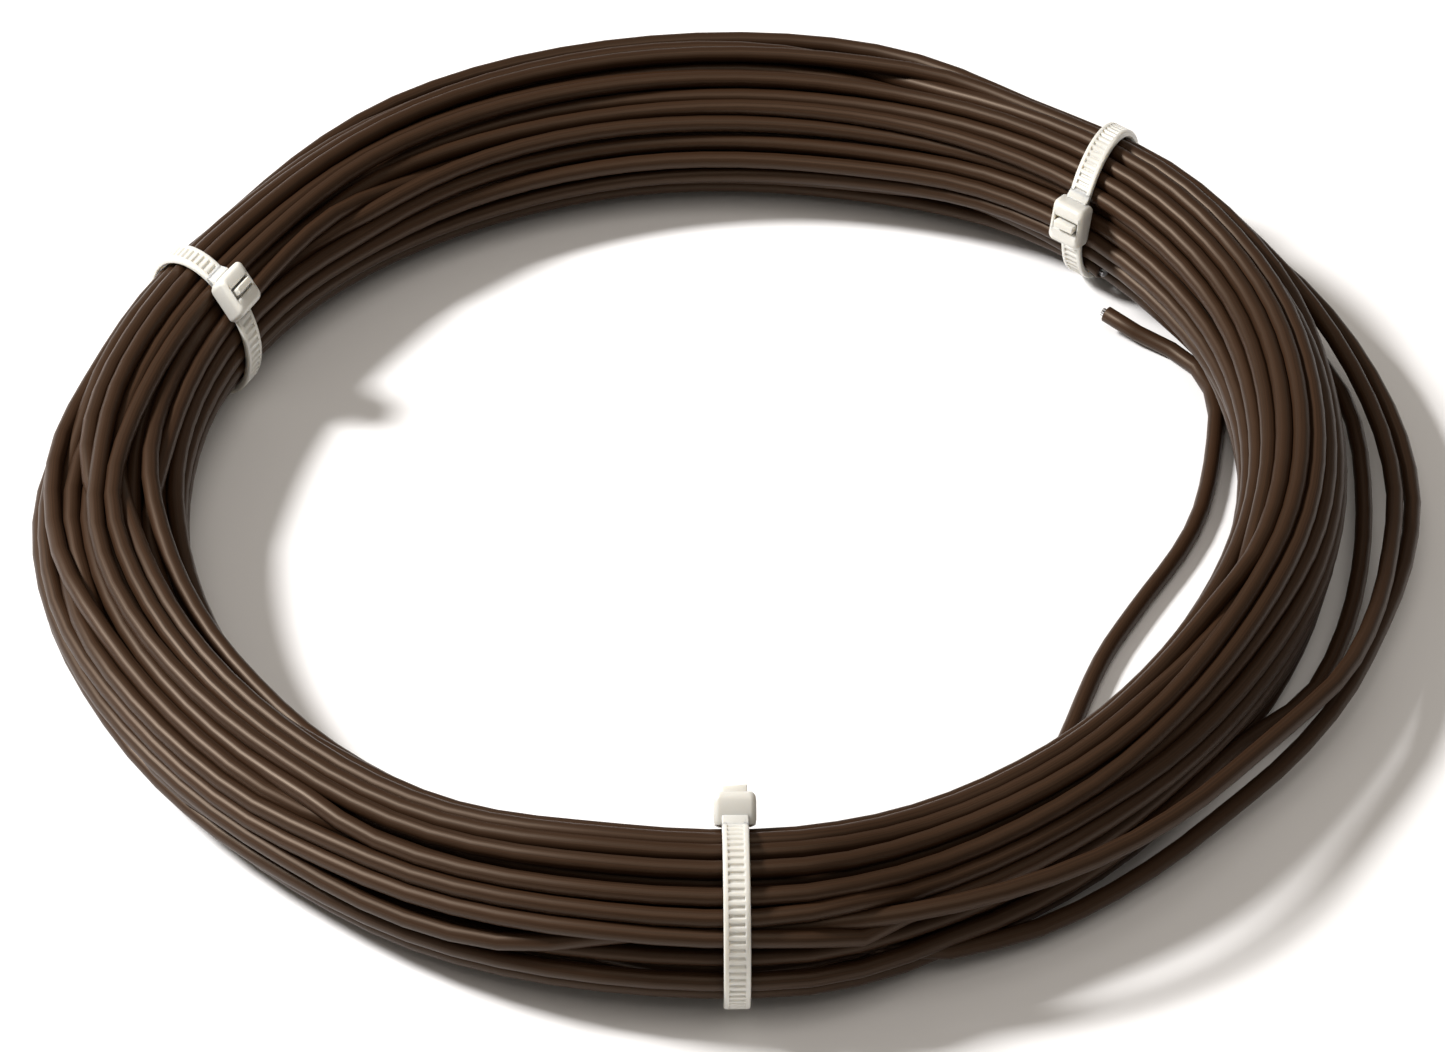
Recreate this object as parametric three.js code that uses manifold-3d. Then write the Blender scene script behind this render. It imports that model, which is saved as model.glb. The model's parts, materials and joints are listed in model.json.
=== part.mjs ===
// A coil of plastic-jacketed steel cable, lying flat and held by three nylon cable ties.
// Millimetres, +Z up. The origin is under the middle of the coil, on the surface that it rests on.

import * as THREE from 'three';
import { mergeVertices } from 'three/addons/utils/BufferGeometryUtils.js';
import Module from 'manifold-3d';

const wasm = await Module();
wasm.setup();

// Driving dimensions of the cable.
const cableDiameter = 2.5;
const jacketBore = 1.9;
const coreDiameter = 1.3;
const coreShowing = 0.6;

// Driving dimensions of a cable tie: the strap, and the head that locks it.
const strapWidth = 3.5;
const strapThickness = 1.1;
const strapFlattening = 0.5;
const headLength = 6.2;
const headWidth = 5.6;
const headHeight = 4.6;
const headCorner = 0.8;
const slotLength = 1.7;
const slotWidth = 4.1;
const slotDepth = 2.6;
const slotCorner = 0.1;
const tailWidth = 3.3;
const tailThickness = 1.0;
const tailStub = 0.9;
const tailSunk = 0.5;
const loopFacets = 22;

// Room left between neighbouring solids.
const clearance = 0.3;

// The ties, by angle round the coil. radius is from the coil's centre to the middle of the bundle, bore is
// the strap loop's inner radius, skew turns the loop off square to the cable, headAngle is measured up from
// the level line towards the coil's centre, and push is how far the tie can be pushed along the bundle.
const ties = [
  { name: 'tie_front', angle: 270.9, radius: 88.7, bore: 11.3, skew: 0, headAngle: 45, push: [-6, 2] },
  { name: 'tie_left', angle: 153.5, radius: 86.0, bore: 9.9, skew: -20, headAngle: 52, push: [-6, 6] },
  { name: 'tie_rear', angle: 49.5, radius: 88.0, bore: 10.4, skew: 15, headAngle: 20, push: [0, 6] },
];

// The loosened bundle between the ties, as its cross-section at angles round the coil. It sags a little, so
// its underside is pressed flat against the surface.
const loosePosts = [
  { angle: 75, radius: 91.5, halfWidth: 15.0, halfHeight: 10.4 },
  { angle: 100, radius: 91.5, halfWidth: 15.0, halfHeight: 10.4 },
  { angle: 122, radius: 90.0, halfWidth: 13.5, halfHeight: 10.4 },
  { angle: 184, radius: 87.4, halfWidth: 11.2, halfHeight: 10.6 },
  { angle: 208, radius: 87.0, halfWidth: 10.6, halfHeight: 10.4 },
  { angle: 232, radius: 87.0, halfWidth: 9.8, halfHeight: 10.0 },
  { angle: 248, radius: 88.0, halfWidth: 9.8, halfHeight: 10.0 },
  { angle: 288, radius: 84.5, halfWidth: 10.0, halfHeight: 10.4 },
  { angle: 304, radius: 82.1, halfWidth: 8.8, halfHeight: 10.8 },
  { angle: 320, radius: 79.6, halfWidth: 8.2, halfHeight: 10.8 },
  { angle: 336, radius: 79.0, halfWidth: 8.0, halfHeight: 10.8 },
  { angle: 360, radius: 81.1, halfWidth: 7.9, halfHeight: 10.8 },
  { angle: 372, radius: 82.8, halfWidth: 8.2, halfHeight: 10.7 },
  { angle: 390, radius: 86.5, halfWidth: 9.6, halfHeight: 10.4 },
];
const sag = 0.8;
const tightMargin = 2.5;

// The turns that have sprung loose, and the cable's two ends, as [angle round the coil, radius, height].
const innerLooseTurn = [
  [20, 76.3, 1.4], [16, 74.7, 1.3], [10, 71.6, 1.3], [3, 68.4, 1.3], [-4, 65.0, 1.3], [-11, 61.9, 1.3], [-18, 60.0, 1.3],
  [-26, 59.3, 1.3], [-33, 60.4, 1.3], [-40, 62.9, 1.3], [-47, 66.3, 1.3], [-53, 69.5, 1.3], [-59, 72.7, 1.3],
];
const outerLooseTurnLow = [
  [27, 98.1, 9.9], [21, 98.8, 8.6], [15, 99.2, 7.5], [8, 99.2, 6.9], [1, 98.7, 6.5],
  [-7, 97.1, 6.5], [-17, 94.9, 6.3], [-25, 94.0, 5.8], [-33, 92.6, 4.8], [-42, 91.2, 4.0], [-50, 91.4, 3.6],
];
const outerLooseTurnHigh = [
  [21, 95.8, 11.1], [14, 96.2, 9.4], [7, 96.3, 8.5], [1, 96.0, 8.2],
  [-7, 94.9, 8.8], [-17, 94.4, 9.8], [-26, 94.1, 11.1], [-34, 92.9, 12.5], [-41, 92.8, 13.5],
  [-48, 93.9, 14.5], [-57, 95.2, 15.4], [-65, 95.6, 15.7],
];
const outerLooseTurnNear = [
  [22, 95.5, 5.8], [17, 95.1, 5.3], [12, 94.2, 5.0], [4, 92.4, 4.8], [-5, 91.1, 4.6], [-13, 90.4, 4.2],
  [-20, 89.8, 3.7], [-25, 89.3, 3.4],
];
const innerEnd = [[40.5, 75.4, 3.2], [38.5, 75.5, 3.0], [36.5, 75.2, 2.9], [34.5, 74.7, 2.8]];
const outerEnd = [[44.8, 78.2, 5.0], [43.4, 77.4, 4.8], [42.0, 76.4, 4.6]];

// From the origin to the coil's own centre, which the angles and radii above are measured from.
const coilCentre = new THREE.Vector3(-0.77, -3.05, 0);

const jacketMaterial = new THREE.MeshStandardMaterial({ color: 0x33241c, roughness: 0.38, metalness: 0 });
const coreMaterial = new THREE.MeshStandardMaterial({ color: 0x8f9194, roughness: 0.35, metalness: 1 });
const nylonMaterial = new THREE.MeshStandardMaterial({ color: 0xe4e2d8, roughness: 0.45, metalness: 0 });

const radians = THREE.MathUtils.degToRad;

function polarPoint([angle, radius, height]) {
  return new THREE.Vector3(radius * Math.cos(radians(angle)), radius * Math.sin(radians(angle)), height);
}

function loopCentreHeight(tie) {
  return tie.bore + strapThickness - strapFlattening;
}

// The bundle's cross-section inside a tie: a circle, flattened underneath by the strap. It stays the same as
// far as the tie can be pushed each way, so it has a post at each end of that stretch.
function tightPosts(tie) {
  const [lowest, highest] = tie.push;
  return [lowest - tightMargin, highest + tightMargin].map((pushed) => ({
    angle: tie.angle + pushed,
    radius: tie.radius,
    halfWidth: tie.bore - clearance,
    halfHeight: tie.bore - clearance,
    centreHeight: loopCentreHeight(tie),
    bottom: strapThickness + clearance,
    tight: true,
  }));
}

function loosePost(post) {
  return { ...post, centreHeight: post.halfHeight - sag, bottom: 0, tight: false };
}

const posts = [...ties.flatMap(tightPosts), ...loosePosts.map(loosePost)].sort((a, b) => a.angle - b.angle);

function postAt(index) {
  const turns = Math.floor(index / posts.length);
  const post = posts[index - turns * posts.length];
  return { ...post, angle: post.angle + 360 * turns };
}

// How fast a measure changes with the angle at a post: level in the ties, and an even curve elsewhere.
function slopeAt(index, key) {
  if (postAt(index).tight) {
    return 0;
  }
  const before = postAt(index - 1);
  const after = postAt(index + 1);
  return (after[key] - before[key]) / (after.angle - before.angle);
}

function sectionAt(angle) {
  const first = posts[0].angle;
  const wrapped = first + THREE.MathUtils.euclideanModulo(angle - first, 360);
  let index = 0;
  while (postAt(index + 1).angle <= wrapped) {
    index += 1;
  }
  const before = postAt(index);
  const after = postAt(index + 1);
  const width = after.angle - before.angle;
  const t = (wrapped - before.angle) / width;
  const section = {};
  for (const key of ['radius', 'halfWidth', 'halfHeight', 'centreHeight', 'bottom']) {
    section[key] =
      (2 * t ** 3 - 3 * t ** 2 + 1) * before[key] +
      (t ** 3 - 2 * t ** 2 + t) * width * slopeAt(index, key) +
      (3 * t ** 2 - 2 * t ** 3) * after[key] +
      (t ** 3 - t ** 2) * width * slopeAt(index + 1, key);
  }
  return section;
}

// The tight turns as one ring. It is turned as a unit ring, and each point then moves to the section there.
function coilBody() {
  const sides = 20;
  const segments = 90;
  const nominalRadius = 50;
  const profile = [];
  for (let i = 0; i <= sides; i += 1) {
    const turn = (2 * Math.PI * (i % sides)) / sides;
    profile.push(new THREE.Vector2(nominalRadius + Math.cos(turn), Math.sin(turn)));
  }
  const geometry = new THREE.LatheGeometry(profile, segments).rotateX(Math.PI / 2);
  const position = geometry.getAttribute('position');
  for (let i = 0; i < position.count; i += 1) {
    const x = position.getX(i);
    const y = position.getY(i);
    const angle = THREE.MathUtils.radToDeg(Math.atan2(y, x));
    const section = sectionAt(angle);
    const radius = section.radius + (Math.hypot(x, y) - nominalRadius) * section.halfWidth;
    const height = section.centreHeight + position.getZ(i) * section.halfHeight;
    const point = polarPoint([angle, radius, Math.max(height, section.bottom, 0)]);
    position.setXYZ(i, point.x, point.y, point.z);
  }
  return geometry;
}

function octagon(diameter, path) {
  for (let i = 0; i < 8; i += 1) {
    const turn = ((i + 0.5) * Math.PI) / 4;
    const point = [(diameter / 2) * Math.cos(turn), (diameter / 2) * Math.sin(turn)];
    if (i === 0) {
      path.moveTo(...point);
    } else {
      path.lineTo(...point);
    }
  }
  path.closePath();
  return path;
}

function sweep(shape, points) {
  const route = new THREE.CatmullRomCurve3(points, false, 'centripetal');
  const steps = Math.max(3, Math.round(route.getLength() / (2.5 * cableDiameter)));
  return new THREE.ExtrudeGeometry(shape, { extrudePath: route, steps, bevelEnabled: false });
}

function solidCable(route) {
  return sweep(octagon(cableDiameter, new THREE.Shape()), route.map(polarPoint));
}

// A cut end of the cable: the jacket is a tube, and the steel core inside stands out of it a little.
function endJacket(route) {
  const shape = octagon(cableDiameter, new THREE.Shape());
  shape.holes.push(octagon(jacketBore, new THREE.Path()));
  return sweep(shape, route.map(polarPoint));
}

function endCore(route, cutFirst) {
  const points = route.map(polarPoint);
  if (!cutFirst) {
    points.reverse();
  }
  const outward = points[0].clone().sub(points[1]).normalize();
  points[0].addScaledVector(outward, coreShowing);
  return sweep(octagon(coreDiameter, new THREE.Shape()), points);
}

function toSolid(geometry) {
  const bare = geometry.clone();
  bare.deleteAttribute('normal');
  bare.deleteAttribute('uv');
  const merged = mergeVertices(bare, 1e-4);
  return new wasm.Manifold(new wasm.Mesh({
    numProp: 3,
    vertProperties: new Float32Array(merged.getAttribute('position').array),
    triVerts: new Uint32Array(merged.index.array),
  }));
}

function toGeometry(solid) {
  const mesh = solid.getMesh();
  const geometry = new THREE.BufferGeometry();
  geometry.setAttribute('position', new THREE.BufferAttribute(new Float32Array(mesh.vertProperties), 3));
  geometry.setIndex(new THREE.BufferAttribute(new Uint32Array(mesh.triVerts), 1));
  geometry.computeVertexNormals();
  return geometry;
}

// A circle with its underside pressed flat at the given depth below the middle.
function flattenedCircle(radius, flatDepth, path) {
  const flatHalfAngle = Math.acos(flatDepth / radius);
  path.absarc(0, 0, radius, -Math.PI / 2 + flatHalfAngle, 1.5 * Math.PI - flatHalfAngle, false);
  path.closePath();
  return path;
}

// Local frame of a tie: +X away from the coil's centre, +Y along the cable, +Z up, origin in mid-bundle.
function strapLoop(tie) {
  const footDepth = loopCentreHeight(tie);
  const shape = flattenedCircle(tie.bore + strapThickness, footDepth, new THREE.Shape());
  shape.holes.push(flattenedCircle(tie.bore, footDepth - strapThickness, new THREE.Path()));
  const options = { depth: strapWidth, bevelEnabled: false, curveSegments: loopFacets };
  return new THREE.ExtrudeGeometry(shape, options).translate(0, 0, -strapWidth / 2).rotateX(Math.PI / 2);
}

// A block of the head: length along the strap, height outward from the bundle, width along the cable.
function headBlock(length, height, width, corner) {
  const shape = new THREE.Shape();
  shape.moveTo(-length / 2, 0);
  shape.lineTo(length / 2, 0);
  shape.lineTo(length / 2, height - corner);
  shape.lineTo(length / 2 - corner, height);
  shape.lineTo(-length / 2 + corner, height);
  shape.lineTo(-length / 2, height - corner);
  shape.closePath();
  const options = { depth: width, bevelEnabled: false };
  return new THREE.ExtrudeGeometry(shape, options).translate(0, 0, -width / 2).rotateX(Math.PI / 2);
}

// The head has a slot across it, and the strap's trimmed end stands up through the slot.
function tieHead(tie) {
  const slotFloor = headHeight - slotDepth;
  const tailHeight = tailSunk + slotDepth + tailStub;
  const body = toSolid(headBlock(headLength, headHeight, headWidth, headCorner));
  const slot = toSolid(headBlock(slotLength, headHeight, slotWidth, slotCorner).translate(0, 0, slotFloor));
  const tail = toSolid(
    headBlock(tailThickness, tailHeight, tailWidth, slotCorner).translate(0, 0, slotFloor - tailSunk),
  );
  return body
    .subtract(slot)
    .add(tail)
    .translate([0, 0, tie.bore])
    .rotate([0, tie.headAngle - 90, 0]);
}

function cableTie(tie) {
  const solid = toSolid(strapLoop(tie)).add(tieHead(tie));
  const lean = Math.tan(radians(tie.skew));
  const stretch = 1 / Math.cos(radians(tie.skew));
  const skewed = new THREE.Matrix4().set(1, 0, 0, 0, lean, stretch, 0, 0, 0, 0, 1, 0, 0, 0, 0, 1);
  return toGeometry(solid).applyMatrix4(skewed);
}

function addPiece(group, name, geometry, material) {
  const mesh = new THREE.Mesh(geometry, material);
  mesh.name = name;
  group.add(mesh);
  return mesh;
}

function buildCoil() {
  const coil = new THREE.Group();
  coil.position.copy(coilCentre);
  addPiece(coil, 'coil_body', coilBody(), jacketMaterial);
  addPiece(coil, 'inner_loose_turn', solidCable(innerLooseTurn), jacketMaterial);
  addPiece(coil, 'outer_loose_turn_low', solidCable(outerLooseTurnLow), jacketMaterial);
  addPiece(coil, 'outer_loose_turn_high', solidCable(outerLooseTurnHigh), jacketMaterial);
  addPiece(coil, 'outer_loose_turn_near', solidCable(outerLooseTurnNear), jacketMaterial);
  addPiece(coil, 'inner_end_jacket', endJacket(innerEnd), jacketMaterial);
  addPiece(coil, 'inner_end_core', endCore(innerEnd, true), coreMaterial);
  addPiece(coil, 'outer_end_jacket', endJacket(outerEnd), jacketMaterial);
  addPiece(coil, 'outer_end_core', endCore(outerEnd, false), coreMaterial);
  for (const tie of ties) {
    const mesh = addPiece(coil, tie.name, cableTie(tie), nylonMaterial);
    mesh.position.copy(polarPoint([tie.angle, tie.radius, loopCentreHeight(tie)]));
    mesh.rotation.z = radians(tie.angle);
  }
  return coil;
}

const part = new THREE.Group();
part.add(buildCoil());

export default part;
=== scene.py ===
"""A coil of plastic-jacketed steel cable on a pale floor, held by three nylon cable ties.

The turns of the cable are laid out by winding them into the bundle's cross-section and then easing them
apart, so that they lie beside and on each other. Lengths are metres unless a name ends in _mm.
"""

import json
import math

import bmesh
import bpy
import numpy as np
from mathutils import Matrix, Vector


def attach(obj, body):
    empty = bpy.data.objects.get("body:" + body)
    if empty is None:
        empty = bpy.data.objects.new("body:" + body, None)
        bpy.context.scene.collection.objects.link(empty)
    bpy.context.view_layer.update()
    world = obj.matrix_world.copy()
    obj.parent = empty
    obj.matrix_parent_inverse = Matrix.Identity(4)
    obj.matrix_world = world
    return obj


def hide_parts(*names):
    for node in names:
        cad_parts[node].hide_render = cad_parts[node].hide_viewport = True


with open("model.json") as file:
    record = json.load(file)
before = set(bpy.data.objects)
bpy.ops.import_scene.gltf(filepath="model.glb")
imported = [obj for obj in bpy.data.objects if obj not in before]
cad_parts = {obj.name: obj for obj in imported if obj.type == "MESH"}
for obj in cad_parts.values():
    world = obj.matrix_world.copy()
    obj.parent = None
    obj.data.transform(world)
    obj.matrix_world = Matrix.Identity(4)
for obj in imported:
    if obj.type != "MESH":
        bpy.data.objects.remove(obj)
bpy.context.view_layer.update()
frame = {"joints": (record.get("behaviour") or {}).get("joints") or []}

MM = 0.001

# The coil's own centre, which every angle and radius is measured from, is the ties' joint axis.
COIL_CENTRE = Vector(frame["joints"][0]["pos_m"])

# The cable.
CABLE_DIAMETER_MM = 2.5
JACKET_BORE_MM = 1.5
CORE_DIAMETER_MM = 1.3
WIRE_LENGTH_MM = 1.8
WIRE_SUNK_MM = 1.15
CUT_DEPTH_MM = 1.2
CUT_CHAMFER_MM = 0.07
TURNS = 46
STATIONS_PER_TURN = 90
FIRST_ANGLE = 40.5
TUBE_SIDES = 14

# How the turns are laid: the widest place across the bundle, how far they stray from their places, and how
# many rounds they are eased for.
SEED = 11
WIDEST_SLOT = 0.93
STRAYING = 0.20
RELAXING_ROUNDS = 420

# In each round the strands are smoothed, less so after this share of the rounds, and their bends are spread.
SMOOTHING = 0.10
LAST_SMOOTHING = 0.03
SMOOTHING_SHARE = 0.85
STIFFNESS = 0.05

# In each round they are also drawn to their places, weakly except where they are held, and pushed this many
# diameters apart. The diameter counted grows from a first share to the whole.
SLOT_PULL = 0.04
HOLD_PULL = 0.6
SPACING = 1.02
FIRST_SHARE = 0.4

# A loose stretch gives way over this many degrees at its ends, and a front strand is held for this many
# stations on each side of the tie, most firmly in the middle of them.
HOLD_EASING = 18
FRONT_REACH = 13
FRONT_FADE = 1.35
FRONT_FIRMNESS = 0.5

# The cable ties.
STRAP_WIDTH_MM = 3.5
STRAP_THICKNESS_MM = 1.1
STRAP_FLATTENING_MM = 0.5
RIDGE_PITCH_MM = 1.15
RIDGE_DEPTH_MM = 0.3
HEAD_LENGTH_MM = 6.2
HEAD_WIDTH_MM = 5.6
HEAD_HEIGHT_MM = 4.6
SLOT_LENGTH_MM = 1.7
SLOT_WIDTH_MM = 4.1
SLOT_DEPTH_MM = 2.6
TAIL_STUB_MM = 0.9

# push is how far either way, in degrees, the bundle stays narrow enough for a tie to slide along it. That is
# the range of the tie's joint, with 2 degrees to spare on one side of the left tie.
TIES = {
    "tie_front": {"angle": 270.9, "radius": 88.7, "bore": 11.3, "skew": 0, "head": 45, "push": (-6, 2)},
    "tie_left": {"angle": 153.5, "radius": 86.0, "bore": 9.9, "skew": -20, "head": 52, "push": (-6, 8)},
    "tie_rear": {"angle": 49.5, "radius": 88.0, "bore": 10.4, "skew": 15, "head": 20, "push": (0, 6)},
}
TIE_BODIES = {"tie_front": "front_tie", "tie_left": "left_tie", "tie_rear": "rear_tie"}
TIGHT_MARGIN = 2.5

# Room between the strands and a strap: all round the loop, where a flat loop crosses a curved bundle, and
# over the strap's flattened foot.
LOOP_CLEARANCE_MM = 0.2
FOOT_CLEARANCE_MM = 0.05

# The loosened bundle between the ties: angle, radius to its middle, half its width and half its height.
LOOSE_POSTS = [
    (75, 91.5, 15.0, 10.4),
    (100, 91.5, 15.0, 10.4),
    (122, 90.0, 13.5, 10.4),
    (184, 87.4, 11.2, 10.6),
    (208, 87.0, 10.6, 10.4),
    (232, 87.0, 9.8, 10.0),
    (244, 88.0, 10.1, 10.5),
    (288, 84.5, 10.0, 10.4),
    (304, 82.1, 8.8, 10.8),
    (320, 79.6, 8.2, 10.8),
    (336, 79.0, 8.0, 10.8),
    (360, 81.1, 7.9, 10.8),
    (372, 82.8, 8.2, 10.7),
    (390, 86.5, 9.6, 10.4),
]
SAG_MM = 0.8

# Stretches that have sprung out of the bundle, as [angle, radius_mm, height_mm] in the direction of winding.
INNER_LOOSE_TURN = [
    [40.5, 75.4, 3.2], [38.5, 75.9, 2.8], [36, 77.2, 1.9], [33, 79.0, 1.4], [29, 80.1, 1.3], [24, 79.2, 1.3],
    [20, 77.2, 1.4], [16, 74.7, 1.3], [10, 71.6, 1.3], [3, 68.4, 1.3], [-4, 65.0, 1.3], [-11, 61.9, 1.3],
    [-18, 60.0, 1.3], [-26, 59.3, 1.3], [-33, 60.4, 1.3], [-40, 62.9, 1.3], [-47, 66.3, 1.3],
    [-53, 69.5, 1.3], [-59, 72.7, 1.3], [-66, 76.3, 1.3], [-74, 80.0, 1.4], [-84, 83.6, 2.6],
]
OUTER_LOOSE_TURN_HIGH = [
    [44, 94.4, 17.0], [38, 94.6, 16.0], [32, 94.8, 14.4], [27, 95.2, 13.0], [21, 95.8, 11.1],
    [14, 96.2, 9.4], [7, 96.3, 8.5], [1, 96.0, 8.2], [-7, 94.9, 8.8], [-17, 94.4, 9.8], [-26, 94.1, 11.1],
    [-34, 92.9, 12.5], [-41, 92.8, 13.5], [-48, 93.9, 14.5], [-57, 95.2, 15.4], [-65, 95.6, 15.7],
    [-74, 95.5, 15.8], [-84, 95.4, 15.9], [-94, 95.3, 15.8], [-104, 95.0, 15.2],
]
OUTER_LOOSE_TURN_NEAR = [
    [32, 95.3, 7.6], [27, 95.6, 6.5], [22, 95.5, 5.8], [17, 95.1, 5.3], [12, 94.2, 5.0], [4, 92.4, 4.8],
    [-5, 91.1, 4.6], [-13, 90.4, 4.2], [-20, 89.8, 3.7], [-25, 89.3, 3.4], [-32, 88.4, 3.2], [-40, 87.6, 3.0],
]
OUTER_LOOSE_TURN_LOW = [
    [44, 95.2, 14.4], [38, 96.4, 12.9], [32, 97.3, 11.3], [27, 98.1, 9.9], [21, 98.8, 8.6], [15, 99.2, 7.5],
    [8, 99.2, 6.9], [1, 98.7, 6.5], [-7, 97.1, 6.5], [-17, 94.9, 6.3], [-25, 94.0, 5.8],
    [-33, 92.6, 4.8], [-42, 91.2, 4.0], [-50, 91.4, 3.6], [-60, 92.4, 3.6], [-70, 93.6, 4.0],
    [-80, 95.0, 4.8],
]
OUTER_END = [
    [62, 82.4, 6.4], [56, 81.6, 6.3], [50, 80.9, 6.2], [47, 80.7, 6.1], [44.8, 80.1, 5.8], [43.4, 79.3, 5.4],
    [42.0, 78.2, 4.9],
]

# Each loose stretch and the turn that it belongs to, counted from the inner end.
LOOSE_STRETCHES = [
    (0, INNER_LOOSE_TURN),
    (TURNS - 3, OUTER_LOOSE_TURN_HIGH),
    (TURNS - 2, OUTER_LOOSE_TURN_NEAR),
    (TURNS - 1, OUTER_LOOSE_TURN_LOW),
    (TURNS, OUTER_END),
]

# The strands that show at the front tie, top to bottom: how far each lies down the bundle as the camera sees
# it, and how far it stands forward of the middle. The slope is how steeply the camera looks down there.
FRONT_STRANDS = [
    (-9.9, 1.2), (-7.9, 5.2), (-5.5, 7.6), (-2.1, 9.6), (0.6, 6.6), (3.0, 9.3), (5.6, 4.4), (8.9, 4.2),
    (9.9, 1.0),
]
FRONT_SLOPE = 44.5

# How many turns each column of the winding holds, from the coil's inside to its outside.
COLUMNS = [4, 5, 6, 7, 7, 7, 6, 4]


def loop_centre_height(tie):
    """A strap loop's middle above the floor, with the strap pressed a little flat under it."""
    return tie["bore"] + STRAP_THICKNESS_MM - STRAP_FLATTENING_MM


def tight_posts(tie):
    """Where a tie holds the bundle: middle radius, half width, half height, middle height, lowest point."""
    half = tie["bore"] - LOOP_CLEARANCE_MM
    lowest = STRAP_THICKNESS_MM + FOOT_CLEARANCE_MM
    section = [tie["radius"], half, half, loop_centre_height(tie), lowest]
    low, high = tie["push"]
    return [
        (tie["angle"] + low - TIGHT_MARGIN, section, True),
        (tie["angle"] + high + TIGHT_MARGIN, section, True),
    ]


def all_posts():
    """Every (angle, section, whether a tie holds it) that shapes the bundle, in order round the coil."""
    posts = [post for tie in TIES.values() for post in tight_posts(tie)]
    for angle, radius, half_width, half_height in LOOSE_POSTS:
        posts.append((angle, [radius, half_width, half_height, half_height - SAG_MM, 0.0], False))
    return sorted(posts, key=lambda post: post[0])


def sections_at(angles):
    """The bundle's cross-section at each angle, on an even curve through the posts and level in the ties."""
    posts = all_posts()
    turn = len(posts)
    angle = np.array([post[0] for post in posts])
    value = np.array([post[1] for post in posts])
    tight = np.array([post[2] for post in posts])
    angle = np.concatenate([angle - 360, angle, angle + 360])
    value = np.tile(value, (3, 1))
    slope = np.zeros_like(value)
    slope[1:-1] = (value[2:] - value[:-2]) / (angle[2:] - angle[:-2])[:, None]
    slope[np.tile(tight, 3)] = 0
    wrapped = angle[turn] + (np.asarray(angles) - angle[turn]) % 360
    i = np.searchsorted(angle, wrapped, side="right") - 1
    return hermite(angle, value, slope, wrapped, i)


def hermite(x, y, slope, wanted, i):
    """The cubic through the points (x, y) with these slopes, read at wanted, which lies after point i."""
    width = x[i + 1] - x[i]
    t = (wanted - x[i]) / width
    if y.ndim > 1:
        width, t = width[:, None], t[:, None]
    return (
        (2 * t**3 - 3 * t**2 + 1) * y[i]
        + (t**3 - 2 * t**2 + t) * width * slope[i]
        + (3 * t**2 - 2 * t**3) * y[i + 1]
        + (t**3 - t**2) * width * slope[i + 1]
    )


def winding_slots():
    """Places in a circle of radius 1 in the order that they fill: up one column and down the next."""
    slots = []
    for column, count in enumerate(COLUMNS):
        across = -WIDEST_SLOT + 2 * WIDEST_SLOT * column / (len(COLUMNS) - 1)
        reach = math.sqrt(1 - across * across)
        heights = np.linspace(-reach, reach, count)
        if column % 2:
            heights = heights[::-1]
        slots += [[across, height] for height in heights]
    return np.array(slots)


def wander(count, random, size):
    """Slow, smooth drift along the whole cable, in two directions."""
    turn = np.arange(count) / STATIONS_PER_TURN
    drift = np.zeros((count, 2))
    for waves_per_turn in (0.37, 0.83, 1.41, 2.3):
        for direction in range(2):
            phase = random.uniform(0, 2 * math.pi)
            strength = size * random.uniform(0.5, 1.0) / (1 + waves_per_turn)
            drift[:, direction] += strength * np.sin(2 * math.pi * waves_per_turn * turn + phase)
    return drift


def hold_loose_stretches(angles, holds):
    """Where the loose stretches lie and how firmly, easing off where they join the bundle."""
    for turn, stretch in LOOSE_STRETCHES:
        route = np.array(stretch, float)
        along = 360.0 * turn - route[:, 0]
        inside = np.flatnonzero((-angles >= along[0] - 1e-6) & (-angles <= along[-1] + 1e-6))
        wanted = np.clip(-angles[inside], along[0], along[-1])
        i = np.clip(np.searchsorted(along, wanted, side="right") - 1, 0, len(along) - 2)
        place = hermite(along, route[:, 1:], np.gradient(route[:, 1:], along, axis=0), wanted, i)
        from_start = 1.0 if inside[0] == 0 else (wanted - along[0]) / HOLD_EASING
        to_end = 1.0 if inside[-1] == len(angles) - 1 else (along[-1] - wanted) / HOLD_EASING
        holds.append((inside, place, ease(np.minimum(from_start, to_end))))


def hold_front_strands(angles, sections, points, holds):
    """Gives each strand that shows at the front the nearest turn, and holds it there by the tie."""
    tie = TIES["tie_front"]
    front = int(round((FIRST_ANGLE + 360 - tie["angle"]) * STATIONS_PER_TURN / 360))
    slope = math.radians(FRONT_SLOPE)
    down, forward = np.array(FRONT_STRANDS).T
    offsets = np.column_stack([
        down * math.sin(slope) + forward * math.cos(slope),
        forward * math.sin(slope) - down * math.cos(slope),
    ])
    here = points[front::STATIONS_PER_TURN] - sections[front, [0, 3]]
    taken = set()
    for offset in offsets:
        distance = np.linalg.norm(here - offset, axis=1)
        turn = min((t for t in range(TURNS) if t not in taken), key=lambda t: distance[t])
        taken.add(turn)
        middle = turn * STATIONS_PER_TURN + front
        stations = np.arange(max(0, middle - FRONT_REACH), min(len(angles), middle + FRONT_REACH + 1))
        size = sections[stations][:, [1, 2]] / sections[front, [1, 2]]
        place = sections[stations][:, [0, 3]] + offset * size
        firm = FRONT_FIRMNESS * ease(FRONT_FADE - FRONT_FADE * np.abs(stations - middle) / FRONT_REACH)
        holds.append((stations, place, firm))


def ease(share):
    """A share from 0 to 1, with a soft start and a soft end."""
    share = np.clip(share, 0, 1)
    return share * share * (3 - 2 * share)


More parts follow.
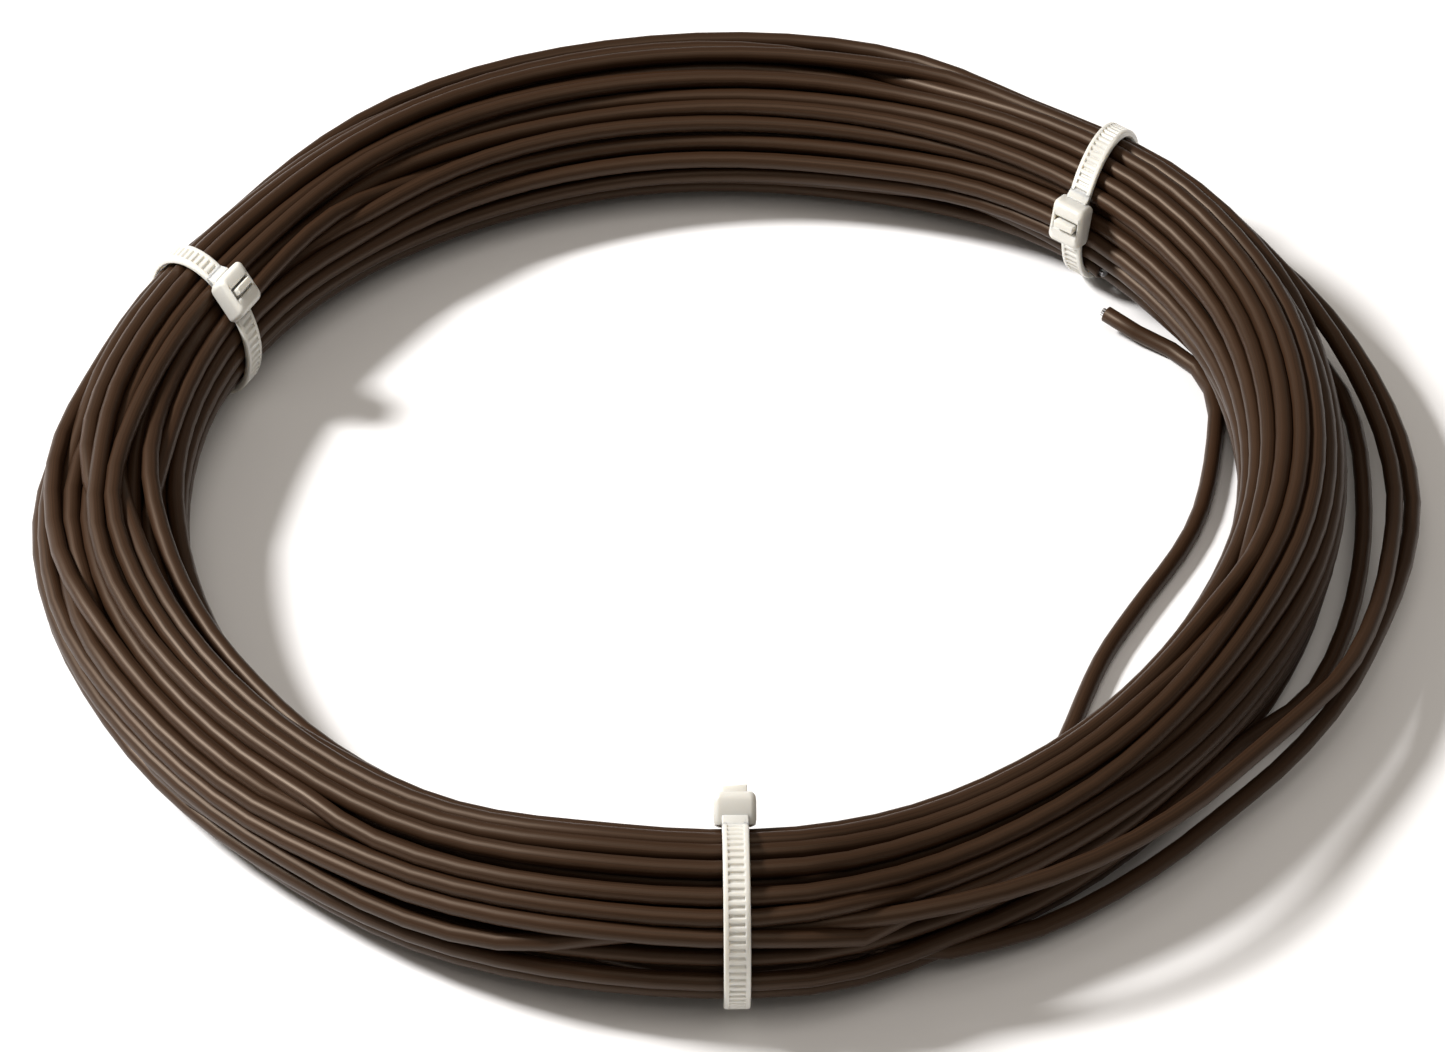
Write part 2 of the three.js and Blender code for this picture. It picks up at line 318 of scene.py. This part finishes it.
def push_apart(points, free, spacing):
    """Moves turns that are closer than spacing away from each other, station by station round the coil."""
    stations = points.reshape(TURNS, STATIONS_PER_TURN, 2).transpose(1, 0, 2)
    yielding = free.reshape(TURNS, STATIONS_PER_TURN).T
    gap = stations[:, :, None, :] - stations[:, None, :, :]
    distance = np.sqrt((gap**2).sum(-1)) + 1e-9
    overlap = np.clip(spacing - distance, 0, None)
    overlap[:, np.arange(TURNS), np.arange(TURNS)] = 0
    share = yielding[:, :, None] / (yielding[:, :, None] + yielding[:, None, :] + 1e-6)
    move = (gap / distance[..., None] * (overlap * share)[..., None]).sum(2)
    return (stations + 0.8 * move).transpose(1, 0, 2).reshape(-1, 2)


def keep_inside(points, free, sections):
    """Moves points that stick out of the bundle's outline back to it, and lifts them off the floor.

    In a tie the strap holds every strand in, and elsewhere the outline gives way a little.
    """
    in_tie = sections[:, 4] > STRAP_THICKNESS_MM
    firmness = np.where(in_tie, 1.0, 0.5 * free)
    radius = CABLE_DIAMETER_MM / 2
    middle = sections[:, [0, 3]]
    half = sections[:, [1, 2]] - radius
    reach = np.sqrt((((points - middle) / half) ** 2).sum(1))
    pulled = middle + (points - middle) / np.maximum(reach, 1)[:, None]
    points = points + (pulled - points) * firmness[:, None]
    lowest = np.where(free > 0.5, np.maximum(sections[:, 4], 0) + radius, radius)
    points[:, 1] = np.maximum(points[:, 1], lowest)
    return points


def straighten(points, free, pull, stiffness):
    """Evens out the cable: pull shortens its waves, and stiffness spreads its bends."""
    curve = np.zeros_like(points)
    curve[1:-1] = points[:-2] + points[2:] - 2 * points[1:-1]
    spread = np.zeros_like(points)
    spread[1:-1] = curve[:-2] + curve[2:] - 2 * curve[1:-1]
    return points + (pull * curve - stiffness * spread) * np.clip(free + 0.05, 0, 1)[:, None]


def lay_cable():
    """Centreline of the whole cable as (angle in degrees, radius_mm, height_mm), from end to end."""
    random = np.random.default_rng(SEED)
    count = TURNS * STATIONS_PER_TURN
    angles = FIRST_ANGLE - 360.0 * np.arange(count) / STATIONS_PER_TURN
    sections = sections_at(angles)
    place_after_last_turn = [-0.7, -0.6]
    slots = np.vstack([winding_slots(), [place_after_last_turn]])
    place = np.arange(count) / STATIONS_PER_TURN
    turn = place.astype(int)
    part_turn = (place - turn)[:, None]
    slot = slots[turn] * (1 - part_turn) + slots[turn + 1] * part_turn
    slot = slot + wander(count, random, STRAYING)
    points = sections[:, [0, 3]] + slot * (sections[:, [1, 2]] - CABLE_DIAMETER_MM / 2)
    holds = []
    hold_loose_stretches(angles, holds)
    for stations, place, firm in holds:
        points[stations] += (place - points[stations]) * firm[:, None]
    hold_front_strands(angles, sections, points, holds)
    weight = np.full(count, SLOT_PULL)
    target = points * SLOT_PULL
    for stations, place, firm in holds:
        weight[stations] += firm
        target[stations] += place * firm[:, None]
    target /= weight[:, None]
    hold = np.clip(weight - SLOT_PULL, 0, 1)
    points = points + (target - points) * hold[:, None]
    free = 1 - hold
    for i in range(RELAXING_ROUNDS):
        done = i / RELAXING_ROUNDS
        grown = min(1.0, FIRST_SHARE + done)
        smoothing = SMOOTHING if done < SMOOTHING_SHARE else LAST_SMOOTHING
        points = straighten(points, free, smoothing, STIFFNESS)
        points = points + (target - points) * (HOLD_PULL * np.clip(weight, 0, 1))[:, None]
        points = push_apart(points, free, SPACING * grown * CABLE_DIAMETER_MM)
        points = keep_inside(points, free, sections)
    return np.column_stack([angles, points])


def to_metres(polar):
    """Points (angle, radius_mm, height_mm) about the coil's centre as positions in the row frame."""
    polar = np.atleast_2d(np.asarray(polar, float))
    angle = np.radians(polar[:, 0])
    flat = polar[:, 1] * MM
    xyz = np.column_stack([flat * np.cos(angle), flat * np.sin(angle), polar[:, 2] * MM])
    return xyz + np.array([COIL_CENTRE.x, COIL_CENTRE.y, 0.0])


def new_object(name, vertices, faces, smooth=True):
    mesh = bpy.data.meshes.new(name)
    mesh.from_pydata([tuple(v) for v in vertices], [], [tuple(f) for f in faces])
    mesh.update()
    if smooth:
        mesh.shade_smooth()
    thing = bpy.data.objects.new(name, mesh)
    bpy.context.scene.collection.objects.link(thing)
    return thing


def sweep_round(route, radius, sides):
    """Rings of vertices round a route, and each ring's distance along it."""
    tangent = np.gradient(route, axis=0)
    tangent /= np.linalg.norm(tangent, axis=1)[:, None]
    up = np.array([0.0, 0.0, 1.0]) - tangent[:, 2:3] * tangent
    up /= np.linalg.norm(up, axis=1)[:, None]
    side = np.cross(tangent, up)
    turn = 2 * math.pi * np.arange(sides) / sides
    ring = up[:, None, :] * np.cos(turn)[None, :, None] + side[:, None, :] * np.sin(turn)[None, :, None]
    along = np.concatenate([[0], np.cumsum(np.linalg.norm(np.diff(route, axis=0), axis=1))])
    return route[:, None, :] + ring * radius, along, tangent, ring


def cable_mesh(route):
    """One closed tube along the route. Its ends are cut square, and are hollow for a little way."""
    radius = CABLE_DIAMETER_MM * MM / 2
    bore = JACKET_BORE_MM * MM / 2
    depth = CUT_DEPTH_MM * MM
    chamfer = CUT_CHAMFER_MM * MM
    rings, along, tangent, ring = sweep_round(route, radius, TUBE_SIDES)
    start = [
        route[0] + tangent[0] * depth + ring[0] * bore * 0.2,
        route[0] + tangent[0] * depth + ring[0] * bore,
        route[0] + ring[0] * bore,
        route[0] + ring[0] * radius * 0.93,
        route[0] + tangent[0] * chamfer + ring[0] * radius * 0.995,
    ]
    end = [
        route[-1] - tangent[-1] * chamfer + ring[-1] * radius * 0.995,
        route[-1] + ring[-1] * radius * 0.93,
        route[-1] + ring[-1] * bore,
        route[-1] - tangent[-1] * depth + ring[-1] * bore,
        route[-1] - tangent[-1] * depth + ring[-1] * bore * 0.2,
    ]
    all_rings = np.array(start + list(rings[1:-1]) + end)
    ring_along = np.concatenate([[0] * len(start), along[1:-1], [along[-1]] * len(end)])
    vertices = all_rings.reshape(-1, 3)
    faces = []
    for i in range(len(all_rings) - 1):
        for j in range(TUBE_SIDES):
            a = i * TUBE_SIDES + j
            b = i * TUBE_SIDES + (j + 1) % TUBE_SIDES
            faces.append((a, a + TUBE_SIDES, b + TUBE_SIDES, b))
    faces.append(tuple(range(TUBE_SIDES)))
    last = len(vertices) - TUBE_SIDES
    faces.append(tuple(range(len(vertices) - 1, last - 1, -1)))
    cable = new_object("cable", vertices, faces)
    along_attribute = cable.data.attributes.new("along", "FLOAT", "POINT")
    along_attribute.data.foreach_set("value", np.repeat(ring_along, TUBE_SIDES).astype(np.float32))
    turn = 2 * math.pi * np.arange(TUBE_SIDES) / TUBE_SIDES
    around = np.column_stack([np.cos(turn), np.sin(turn), np.zeros(TUBE_SIDES)])
    around = np.tile(around, (len(all_rings), 1)).astype(np.float32)
    around_attribute = cable.data.attributes.new("around", "FLOAT_VECTOR", "POINT")
    around_attribute.data.foreach_set("vector", around.ravel())
    return cable


def wire_end(name, tip, outward):
    """The steel core at a cut end: one straight wire and six that wind round it, cut off square."""
    wire = CORE_DIAMETER_MM * MM / 6
    length = WIRE_LENGTH_MM * MM
    sunk = WIRE_SUNK_MM * MM
    outward = np.asarray(outward) / np.linalg.norm(outward)
    side = np.cross(outward, [0.0, 0.0, 1.0])
    side /= np.linalg.norm(side)
    up = np.cross(side, outward)
    sides = 10
    steps = 8
    vertices, faces = [], []
    for i in range(7):
        reach = 0.0 if i == 0 else 2 * wire * 0.99
        first = len(vertices)
        for step in range(steps + 1):
            share = step / steps
            turn = math.radians(60 * i + 35 * share)
            centre = tip + outward * (share * length - sunk)
            centre = centre + reach * (math.cos(turn) * side + math.sin(turn) * up)
            for j in range(sides):
                around = 2 * math.pi * j / sides
                vertices.append(centre + wire * 0.96 * (math.cos(around) * side + math.sin(around) * up))
        for step in range(steps):
            for j in range(sides):
                a = first + step * sides + j
                b = first + step * sides + (j + 1) % sides
                faces.append((a, b, b + sides, a + sides))
        faces.append(tuple(first + j for j in reversed(range(sides))))
        faces.append(tuple(first + steps * sides + j for j in range(sides)))
    wires = new_object(name, vertices, faces, smooth=False)
    mend_normals(wires)
    return wires


def mend_normals(thing):
    """Turns every face of a piece outward."""
    work = bmesh.new()
    work.from_mesh(thing.data)
    bmesh.ops.recalc_face_normals(work, faces=work.faces)
    work.to_mesh(thing.data)
    work.free()


def rounded_outline(half_x, half_y, corner, count=40):
    """A rectangle with rounded corners, as the same number of points in each corner."""
    corner = min(corner, half_x, half_y)
    points = []
    for i in range(count):
        quarter, step = divmod(i, count // 4)
        turn = math.pi / 2 * (quarter + step / (count // 4 - 1))
        across = (half_x - corner) * (1 if quarter in (0, 3) else -1)
        along = (half_y - corner) * (1 if quarter in (0, 1) else -1)
        points.append((across + corner * math.cos(turn), along + corner * math.sin(turn)))
    return points


def stacked_rings(rings):
    """A closed body through rings of equal size, with a flat cap at each end."""
    size = len(rings[0])
    vertices = [point for ring in rings for point in ring]
    faces = []
    for i in range(len(rings) - 1):
        for j in range(size):
            a = i * size + j
            b = i * size + (j + 1) % size
            faces.append((a, b, b + size, a + size))
    faces.append(tuple(reversed(range(size))))
    faces.append(tuple(range(len(vertices) - size, len(vertices))))
    return vertices, faces


def strap_parts(tie):
    """The strap round the bundle: rounded edges, and ridges on its outside between two plain side rails.

    The profile is (across the strap, out from the bundle), and out is None on the ridged band.
    """
    half = STRAP_WIDTH_MM / 2
    thick = STRAP_THICKNESS_MM
    flat = tie["bore"] - STRAP_FLATTENING_MM
    profile = [
        (-half + 0.25, 0.0), (half - 0.25, 0.0), (half, 0.25), (half, thick - 0.25),
        (half - 0.12, thick - 0.06), (half - 0.3, thick), (half - 0.62, thick), (half - 0.75, None),
        (-half + 0.75, None),
        (-half + 0.62, thick), (-half + 0.3, thick), (-half + 0.12, thick - 0.06), (-half, thick - 0.25),
        (-half, 0.25),
    ]
    ridge_count = round(2 * math.pi * (tie["bore"] + thick) / RIDGE_PITCH_MM)
    ridge = [RIDGE_DEPTH_MM, RIDGE_DEPTH_MM, 0.04, 0.0, 0.04]
    vertices, faces = [], []
    stations = ridge_count * len(ridge)
    for i in range(stations):
        turn = 2 * math.pi * i / stations
        for across, out in profile:
            out = thick - ridge[i % len(ridge)] if out is None else out
            radius = tie["bore"] + out
            low = -(flat + out)
            vertices.append((radius * math.cos(turn), across, max(radius * math.sin(turn), low)))
    size = len(profile)
    for i in range(stations):
        for j in range(size):
            a = i * size + j
            b = i * size + (j + 1) % size
            c = (i + 1) % stations * size
            faces.append((a, b, c + (j + 1) % size, c + j))
    return vertices, faces


def head_parts():
    """The head, standing on the strap: a rounded block with the slot that the strap comes out of.

    A layer is half its length, half its width, its corner radius and its height, going up the outside of the
    head, over its top and down into the slot.
    """
    top = HEAD_HEIGHT_MM
    length, width = HEAD_LENGTH_MM / 2, HEAD_WIDTH_MM / 2
    slot_x, slot_y = SLOT_LENGTH_MM / 2, SLOT_WIDTH_MM / 2
    layers = [
        (length - 0.9, width - 0.7, 0.4, 0.0), (length - 0.25, width - 0.12, 0.7, 0.25),
        (length, width, 0.8, 0.9), (length, width, 0.8, top - 1.1),
        (length - 0.1, width - 0.1, 0.85, top - 0.55),
        (length - 0.35, width - 0.35, 0.8, top - 0.18), (length - 0.75, width - 0.7, 0.6, top),
        (slot_x + 0.28, slot_y + 0.22, 0.3, top), (slot_x + 0.05, slot_y + 0.05, 0.25, top - 0.2),
        (slot_x, slot_y, 0.2, top - 0.5), (slot_x, slot_y, 0.2, top - SLOT_DEPTH_MM),
    ]
    rings = []
    for half_x, half_y, corner, height in layers:
        rings.append([(x, y, height) for x, y in rounded_outline(half_x, half_y, corner)])
    return stacked_rings(rings)


def block_parts(length, width, low, high, shift=0.0, lean=0.0, cut=0.0):
    """A small rounded block in the head. lean slides its top along the strap, cut tilts its top face."""
    layers = [(low, 0.0, 0), (high - 0.15, 0.0, 1), (high, 0.1, 1)]
    rings = []
    for height, inset, at_top in layers:
        ring = []
        for x, y in rounded_outline(length / 2 - inset, width / 2 - inset, 0.15, 16):
            ring.append((x + shift + lean * at_top, y, height + cut * y * at_top))
        rings.append(ring)
    return stacked_rings(rings)


def detailed_tie(name, tie):
    """A cable tie: its strap, its head, the cut-off tail and the pawl in the slot, and the strap's root.

    It is made with x outward from the coil, y along the cable and z up, and then moved to its place.
    """
    strap_vertices, strap_faces = strap_parts(tie)
    vertices = list(strap_vertices)
    faces = list(strap_faces)
    sunk = HEAD_HEIGHT_MM - SLOT_DEPTH_MM - 0.4
    tail_top = HEAD_HEIGHT_MM + TAIL_STUB_MM
    tail = block_parts(1.0, STRAP_WIDTH_MM - 0.2, sunk, tail_top, cut=0.06)
    pawl = block_parts(0.5, STRAP_WIDTH_MM - 0.9, sunk, HEAD_HEIGHT_MM - 0.35, shift=-0.78, lean=0.24)
    root = block_parts(2.6, STRAP_WIDTH_MM, -0.1, 1.5, shift=HEAD_LENGTH_MM / 2, lean=-1.0)
    pieces = [head_parts(), tail, pawl, root]
    lift = math.radians(tie["head"])
    for part_vertices, part_faces in pieces:
        first = len(vertices)
        for x, y, z in part_vertices:
            out = tie["bore"] + z
            vertices.append((
                x * math.sin(lift) - out * math.cos(lift), y, x * math.cos(lift) + out * math.sin(lift),
            ))
        faces += [tuple(first + i for i in face) for face in part_faces]
    skew = math.radians(tie["skew"])
    turn = math.radians(tie["angle"])
    middle = to_metres([tie["angle"], tie["radius"], loop_centre_height(tie)])[0]
    placed = []
    for x, y, z in vertices:
        y = y / math.cos(skew) + x * math.tan(skew)
        placed.append((
            middle[0] + MM * (x * math.cos(turn) - y * math.sin(turn)),
            middle[1] + MM * (x * math.sin(turn) + y * math.cos(turn)),
            middle[2] + MM * z,
        ))
    thing = new_object(name + "_strap_and_head", placed, faces)
    mend_normals(thing)
    thing.data.set_sharp_from_angle(angle=math.radians(38))
    return thing


def build_ties():
    """The three detailed ties, each in place of its plain CAD solid."""
    nylon = nylon_material()
    for name, tie in TIES.items():
        thing = detailed_tie(name, tie)
        thing.data.materials.append(nylon)
        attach(thing, TIE_BODIES[name])
        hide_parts(name)


# Materials.

def new_material(name):
    material = bpy.data.materials.new(name)
    material.use_nodes = True
    nodes = material.node_tree.nodes
    return material, nodes, material.node_tree.links, nodes["Principled BSDF"]


def jacket_material():
    """Dark brown extruded plastic: fine lines along it, and slow changes of colour and gloss."""
    material, nodes, links, surface = new_material("jacket_plastic")
    surface.inputs["IOR"].default_value = 1.5
    surface.inputs["Specular IOR Level"].default_value = 0.30
    surface.inputs["Specular Tint"].default_value = (1.0, 0.80, 0.62, 1)
    around = nodes.new("ShaderNodeAttribute")
    around.attribute_name = "around"
    along = nodes.new("ShaderNodeAttribute")
    along.attribute_name = "along"
    place = nodes.new("ShaderNodeCombineXYZ")
    links.new(along.outputs["Fac"], place.inputs["Z"])
    stretched = nodes.new("ShaderNodeVectorMath")
    stretched.operation = "MULTIPLY_ADD"
    stretched.inputs[1].default_value = (1.0, 1.0, 0.0)
    links.new(around.outputs["Vector"], stretched.inputs[0])
    links.new(place.outputs["Vector"], stretched.inputs[2])

    tone = nodes.new("ShaderNodeTexNoise")
    tone.inputs["Scale"].default_value = 9.0
    tone.inputs["Detail"].default_value = 3.0
    links.new(stretched.outputs["Vector"], tone.inputs["Vector"])
    colour = nodes.new("ShaderNodeValToRGB")
    colour.color_ramp.elements[0].position = 0.3
    colour.color_ramp.elements[0].color = (0.0175, 0.0082, 0.0038, 1)
    colour.color_ramp.elements[1].position = 0.75
    colour.color_ramp.elements[1].color = (0.0380, 0.0175, 0.0085, 1)
    links.new(tone.outputs["Fac"], colour.inputs["Fac"])
    links.new(colour.outputs["Color"], surface.inputs["Base Color"])

    gloss = nodes.new("ShaderNodeTexNoise")
    gloss.inputs["Scale"].default_value = 22.0
    gloss.inputs["Detail"].default_value = 4.0
    links.new(stretched.outputs["Vector"], gloss.inputs["Vector"])
    gloss_range = nodes.new("ShaderNodeMapRange")
    gloss_range.inputs["To Min"].default_value = 0.33
    gloss_range.inputs["To Max"].default_value = 0.55
    links.new(gloss.outputs["Fac"], gloss_range.inputs["Value"])
    links.new(gloss_range.outputs["Result"], surface.inputs["Roughness"])

    lines = nodes.new("ShaderNodeTexNoise")
    lines.inputs["Scale"].default_value = 7.0
    lines.inputs["Detail"].default_value = 5.0
    lines.inputs["Roughness"].default_value = 0.65
    links.new(stretched.outputs["Vector"], lines.inputs["Vector"])
    bump = nodes.new("ShaderNodeBump")
    bump.inputs["Strength"].default_value = 0.25
    bump.inputs["Distance"].default_value = 0.00006
    links.new(lines.outputs["Fac"], bump.inputs["Height"])
    links.new(bump.outputs["Normal"], surface.inputs["Normal"])
    return material


def steel_material():
    material, nodes, links, surface = new_material("steel_wire")
    surface.inputs["Metallic"].default_value = 1.0
    surface.inputs["Base Color"].default_value = (0.42, 0.42, 0.43, 1)
    grain = nodes.new("ShaderNodeTexNoise")
    grain.inputs["Scale"].default_value = 9000.0
    reach = nodes.new("ShaderNodeMapRange")
    reach.inputs["To Min"].default_value = 0.28
    reach.inputs["To Max"].default_value = 0.5
    links.new(grain.outputs["Fac"], reach.inputs["Value"])
    links.new(reach.outputs["Result"], surface.inputs["Roughness"])
    return material


def nylon_material():
    """Natural nylon: milky, slightly see-through, with a soft gloss and a faint cloudiness."""
    material, nodes, links, surface = new_material("natural_nylon")
    surface.inputs["IOR"].default_value = 1.53
    surface.inputs["Subsurface Weight"].default_value = 0.65
    surface.inputs["Subsurface Radius"].default_value = (1.0, 0.9, 0.75)
    surface.inputs["Subsurface Scale"].default_value = 0.0012
    cloud = nodes.new("ShaderNodeTexNoise")
    cloud.inputs["Scale"].default_value = 420.0
    cloud.inputs["Detail"].default_value = 3.0
    colour = nodes.new("ShaderNodeValToRGB")
    colour.color_ramp.elements[0].position = 0.3
    colour.color_ramp.elements[0].color = (0.56, 0.55, 0.51, 1)
    colour.color_ramp.elements[1].position = 0.75
    colour.color_ramp.elements[1].color = (0.66, 0.655, 0.62, 1)
    links.new(cloud.outputs["Fac"], colour.inputs["Fac"])
    links.new(colour.outputs["Color"], surface.inputs["Base Color"])
    reach = nodes.new("ShaderNodeMapRange")
    reach.inputs["To Min"].default_value = 0.25
    reach.inputs["To Max"].default_value = 0.45
    links.new(cloud.outputs["Fac"], reach.inputs["Value"])
    links.new(reach.outputs["Result"], surface.inputs["Roughness"])
    return material


def floor_material():
    material, nodes, links, surface = new_material("pale_floor")
    surface.inputs["Base Color"].default_value = (0.86, 0.86, 0.87, 1)
    surface.inputs["Roughness"].default_value = 0.6
    return material


# Camera, lights and floor.

def add_camera():
    elevation = math.radians(40.4)
    camera = bpy.data.cameras.new("camera")
    camera.sensor_width = 36
    camera.lens = 137.8
    camera.clip_end = 20
    thing = bpy.data.objects.new("camera", camera)
    thing.location = COIL_CENTRE + Vector((-0.00036, -0.6056, 0.5183))
    thing.rotation_euler = (math.pi / 2 - elevation, 0, 0)
    bpy.context.scene.collection.objects.link(thing)
    bpy.context.scene.camera = thing


def add_area_light(name, place, size, power, colour=(1, 1, 1)):
    light = bpy.data.lights.new(name, "AREA")
    light.shape = "DISK"
    light.size = size
    light.energy = power
    light.color = colour
    thing = bpy.data.objects.new(name, light)
    thing.location = place
    aim = Vector((0, 0, 0)) - Vector(place)
    thing.rotation_euler = aim.to_track_quat("-Z", "Y").to_euler()
    bpy.context.scene.collection.objects.link(thing)


def add_stage():
    world = bpy.data.worlds.new("studio")
    world.use_nodes = True
    background = world.node_tree.nodes["Background"]
    background.inputs["Color"].default_value = (1.0, 0.91, 0.80, 1)
    background.inputs["Strength"].default_value = 0.24
    bpy.context.scene.world = world
    bpy.context.scene.view_settings.view_transform = "Standard"
    add_area_light("key", (-0.78, 0.13, 0.74), 0.22, 20.0, (1.0, 0.98, 0.96))
    add_area_light("fill", (0.10, -0.45, 1.25), 1.1, 5.0, (1.0, 0.93, 0.85))
    floor = new_object("floor", [(-3, -3, 0), (3, -3, 0), (3, 3, 0), (-3, 3, 0)], [(0, 1, 2, 3)], False)
    floor.data.materials.append(floor_material())


def build_cable():
    polar = lay_cable()
    route = to_metres(polar)
    cable = cable_mesh(route)
    cable.data.materials.append(jacket_material())
    steel = steel_material()
    for name, tip, outward in (
        ("inner_end_wires", route[0], route[0] - route[1]),
        ("outer_end_wires", route[-1], route[-1] - route[-2]),
    ):
        piece = wire_end(name, tip, outward)
        piece.data.materials.append(steel)
        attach(piece, "coil")
    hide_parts("inner_end_core")
    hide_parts("outer_end_core")
    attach(cable, "coil")
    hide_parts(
        "coil_body",
        "inner_loose_turn",
        "outer_loose_turn_low",
        "outer_loose_turn_high",
        "outer_loose_turn_near",
        "inner_end_jacket",
        "outer_end_jacket",
    )


add_camera()
add_stage()
build_cable()
build_ties()
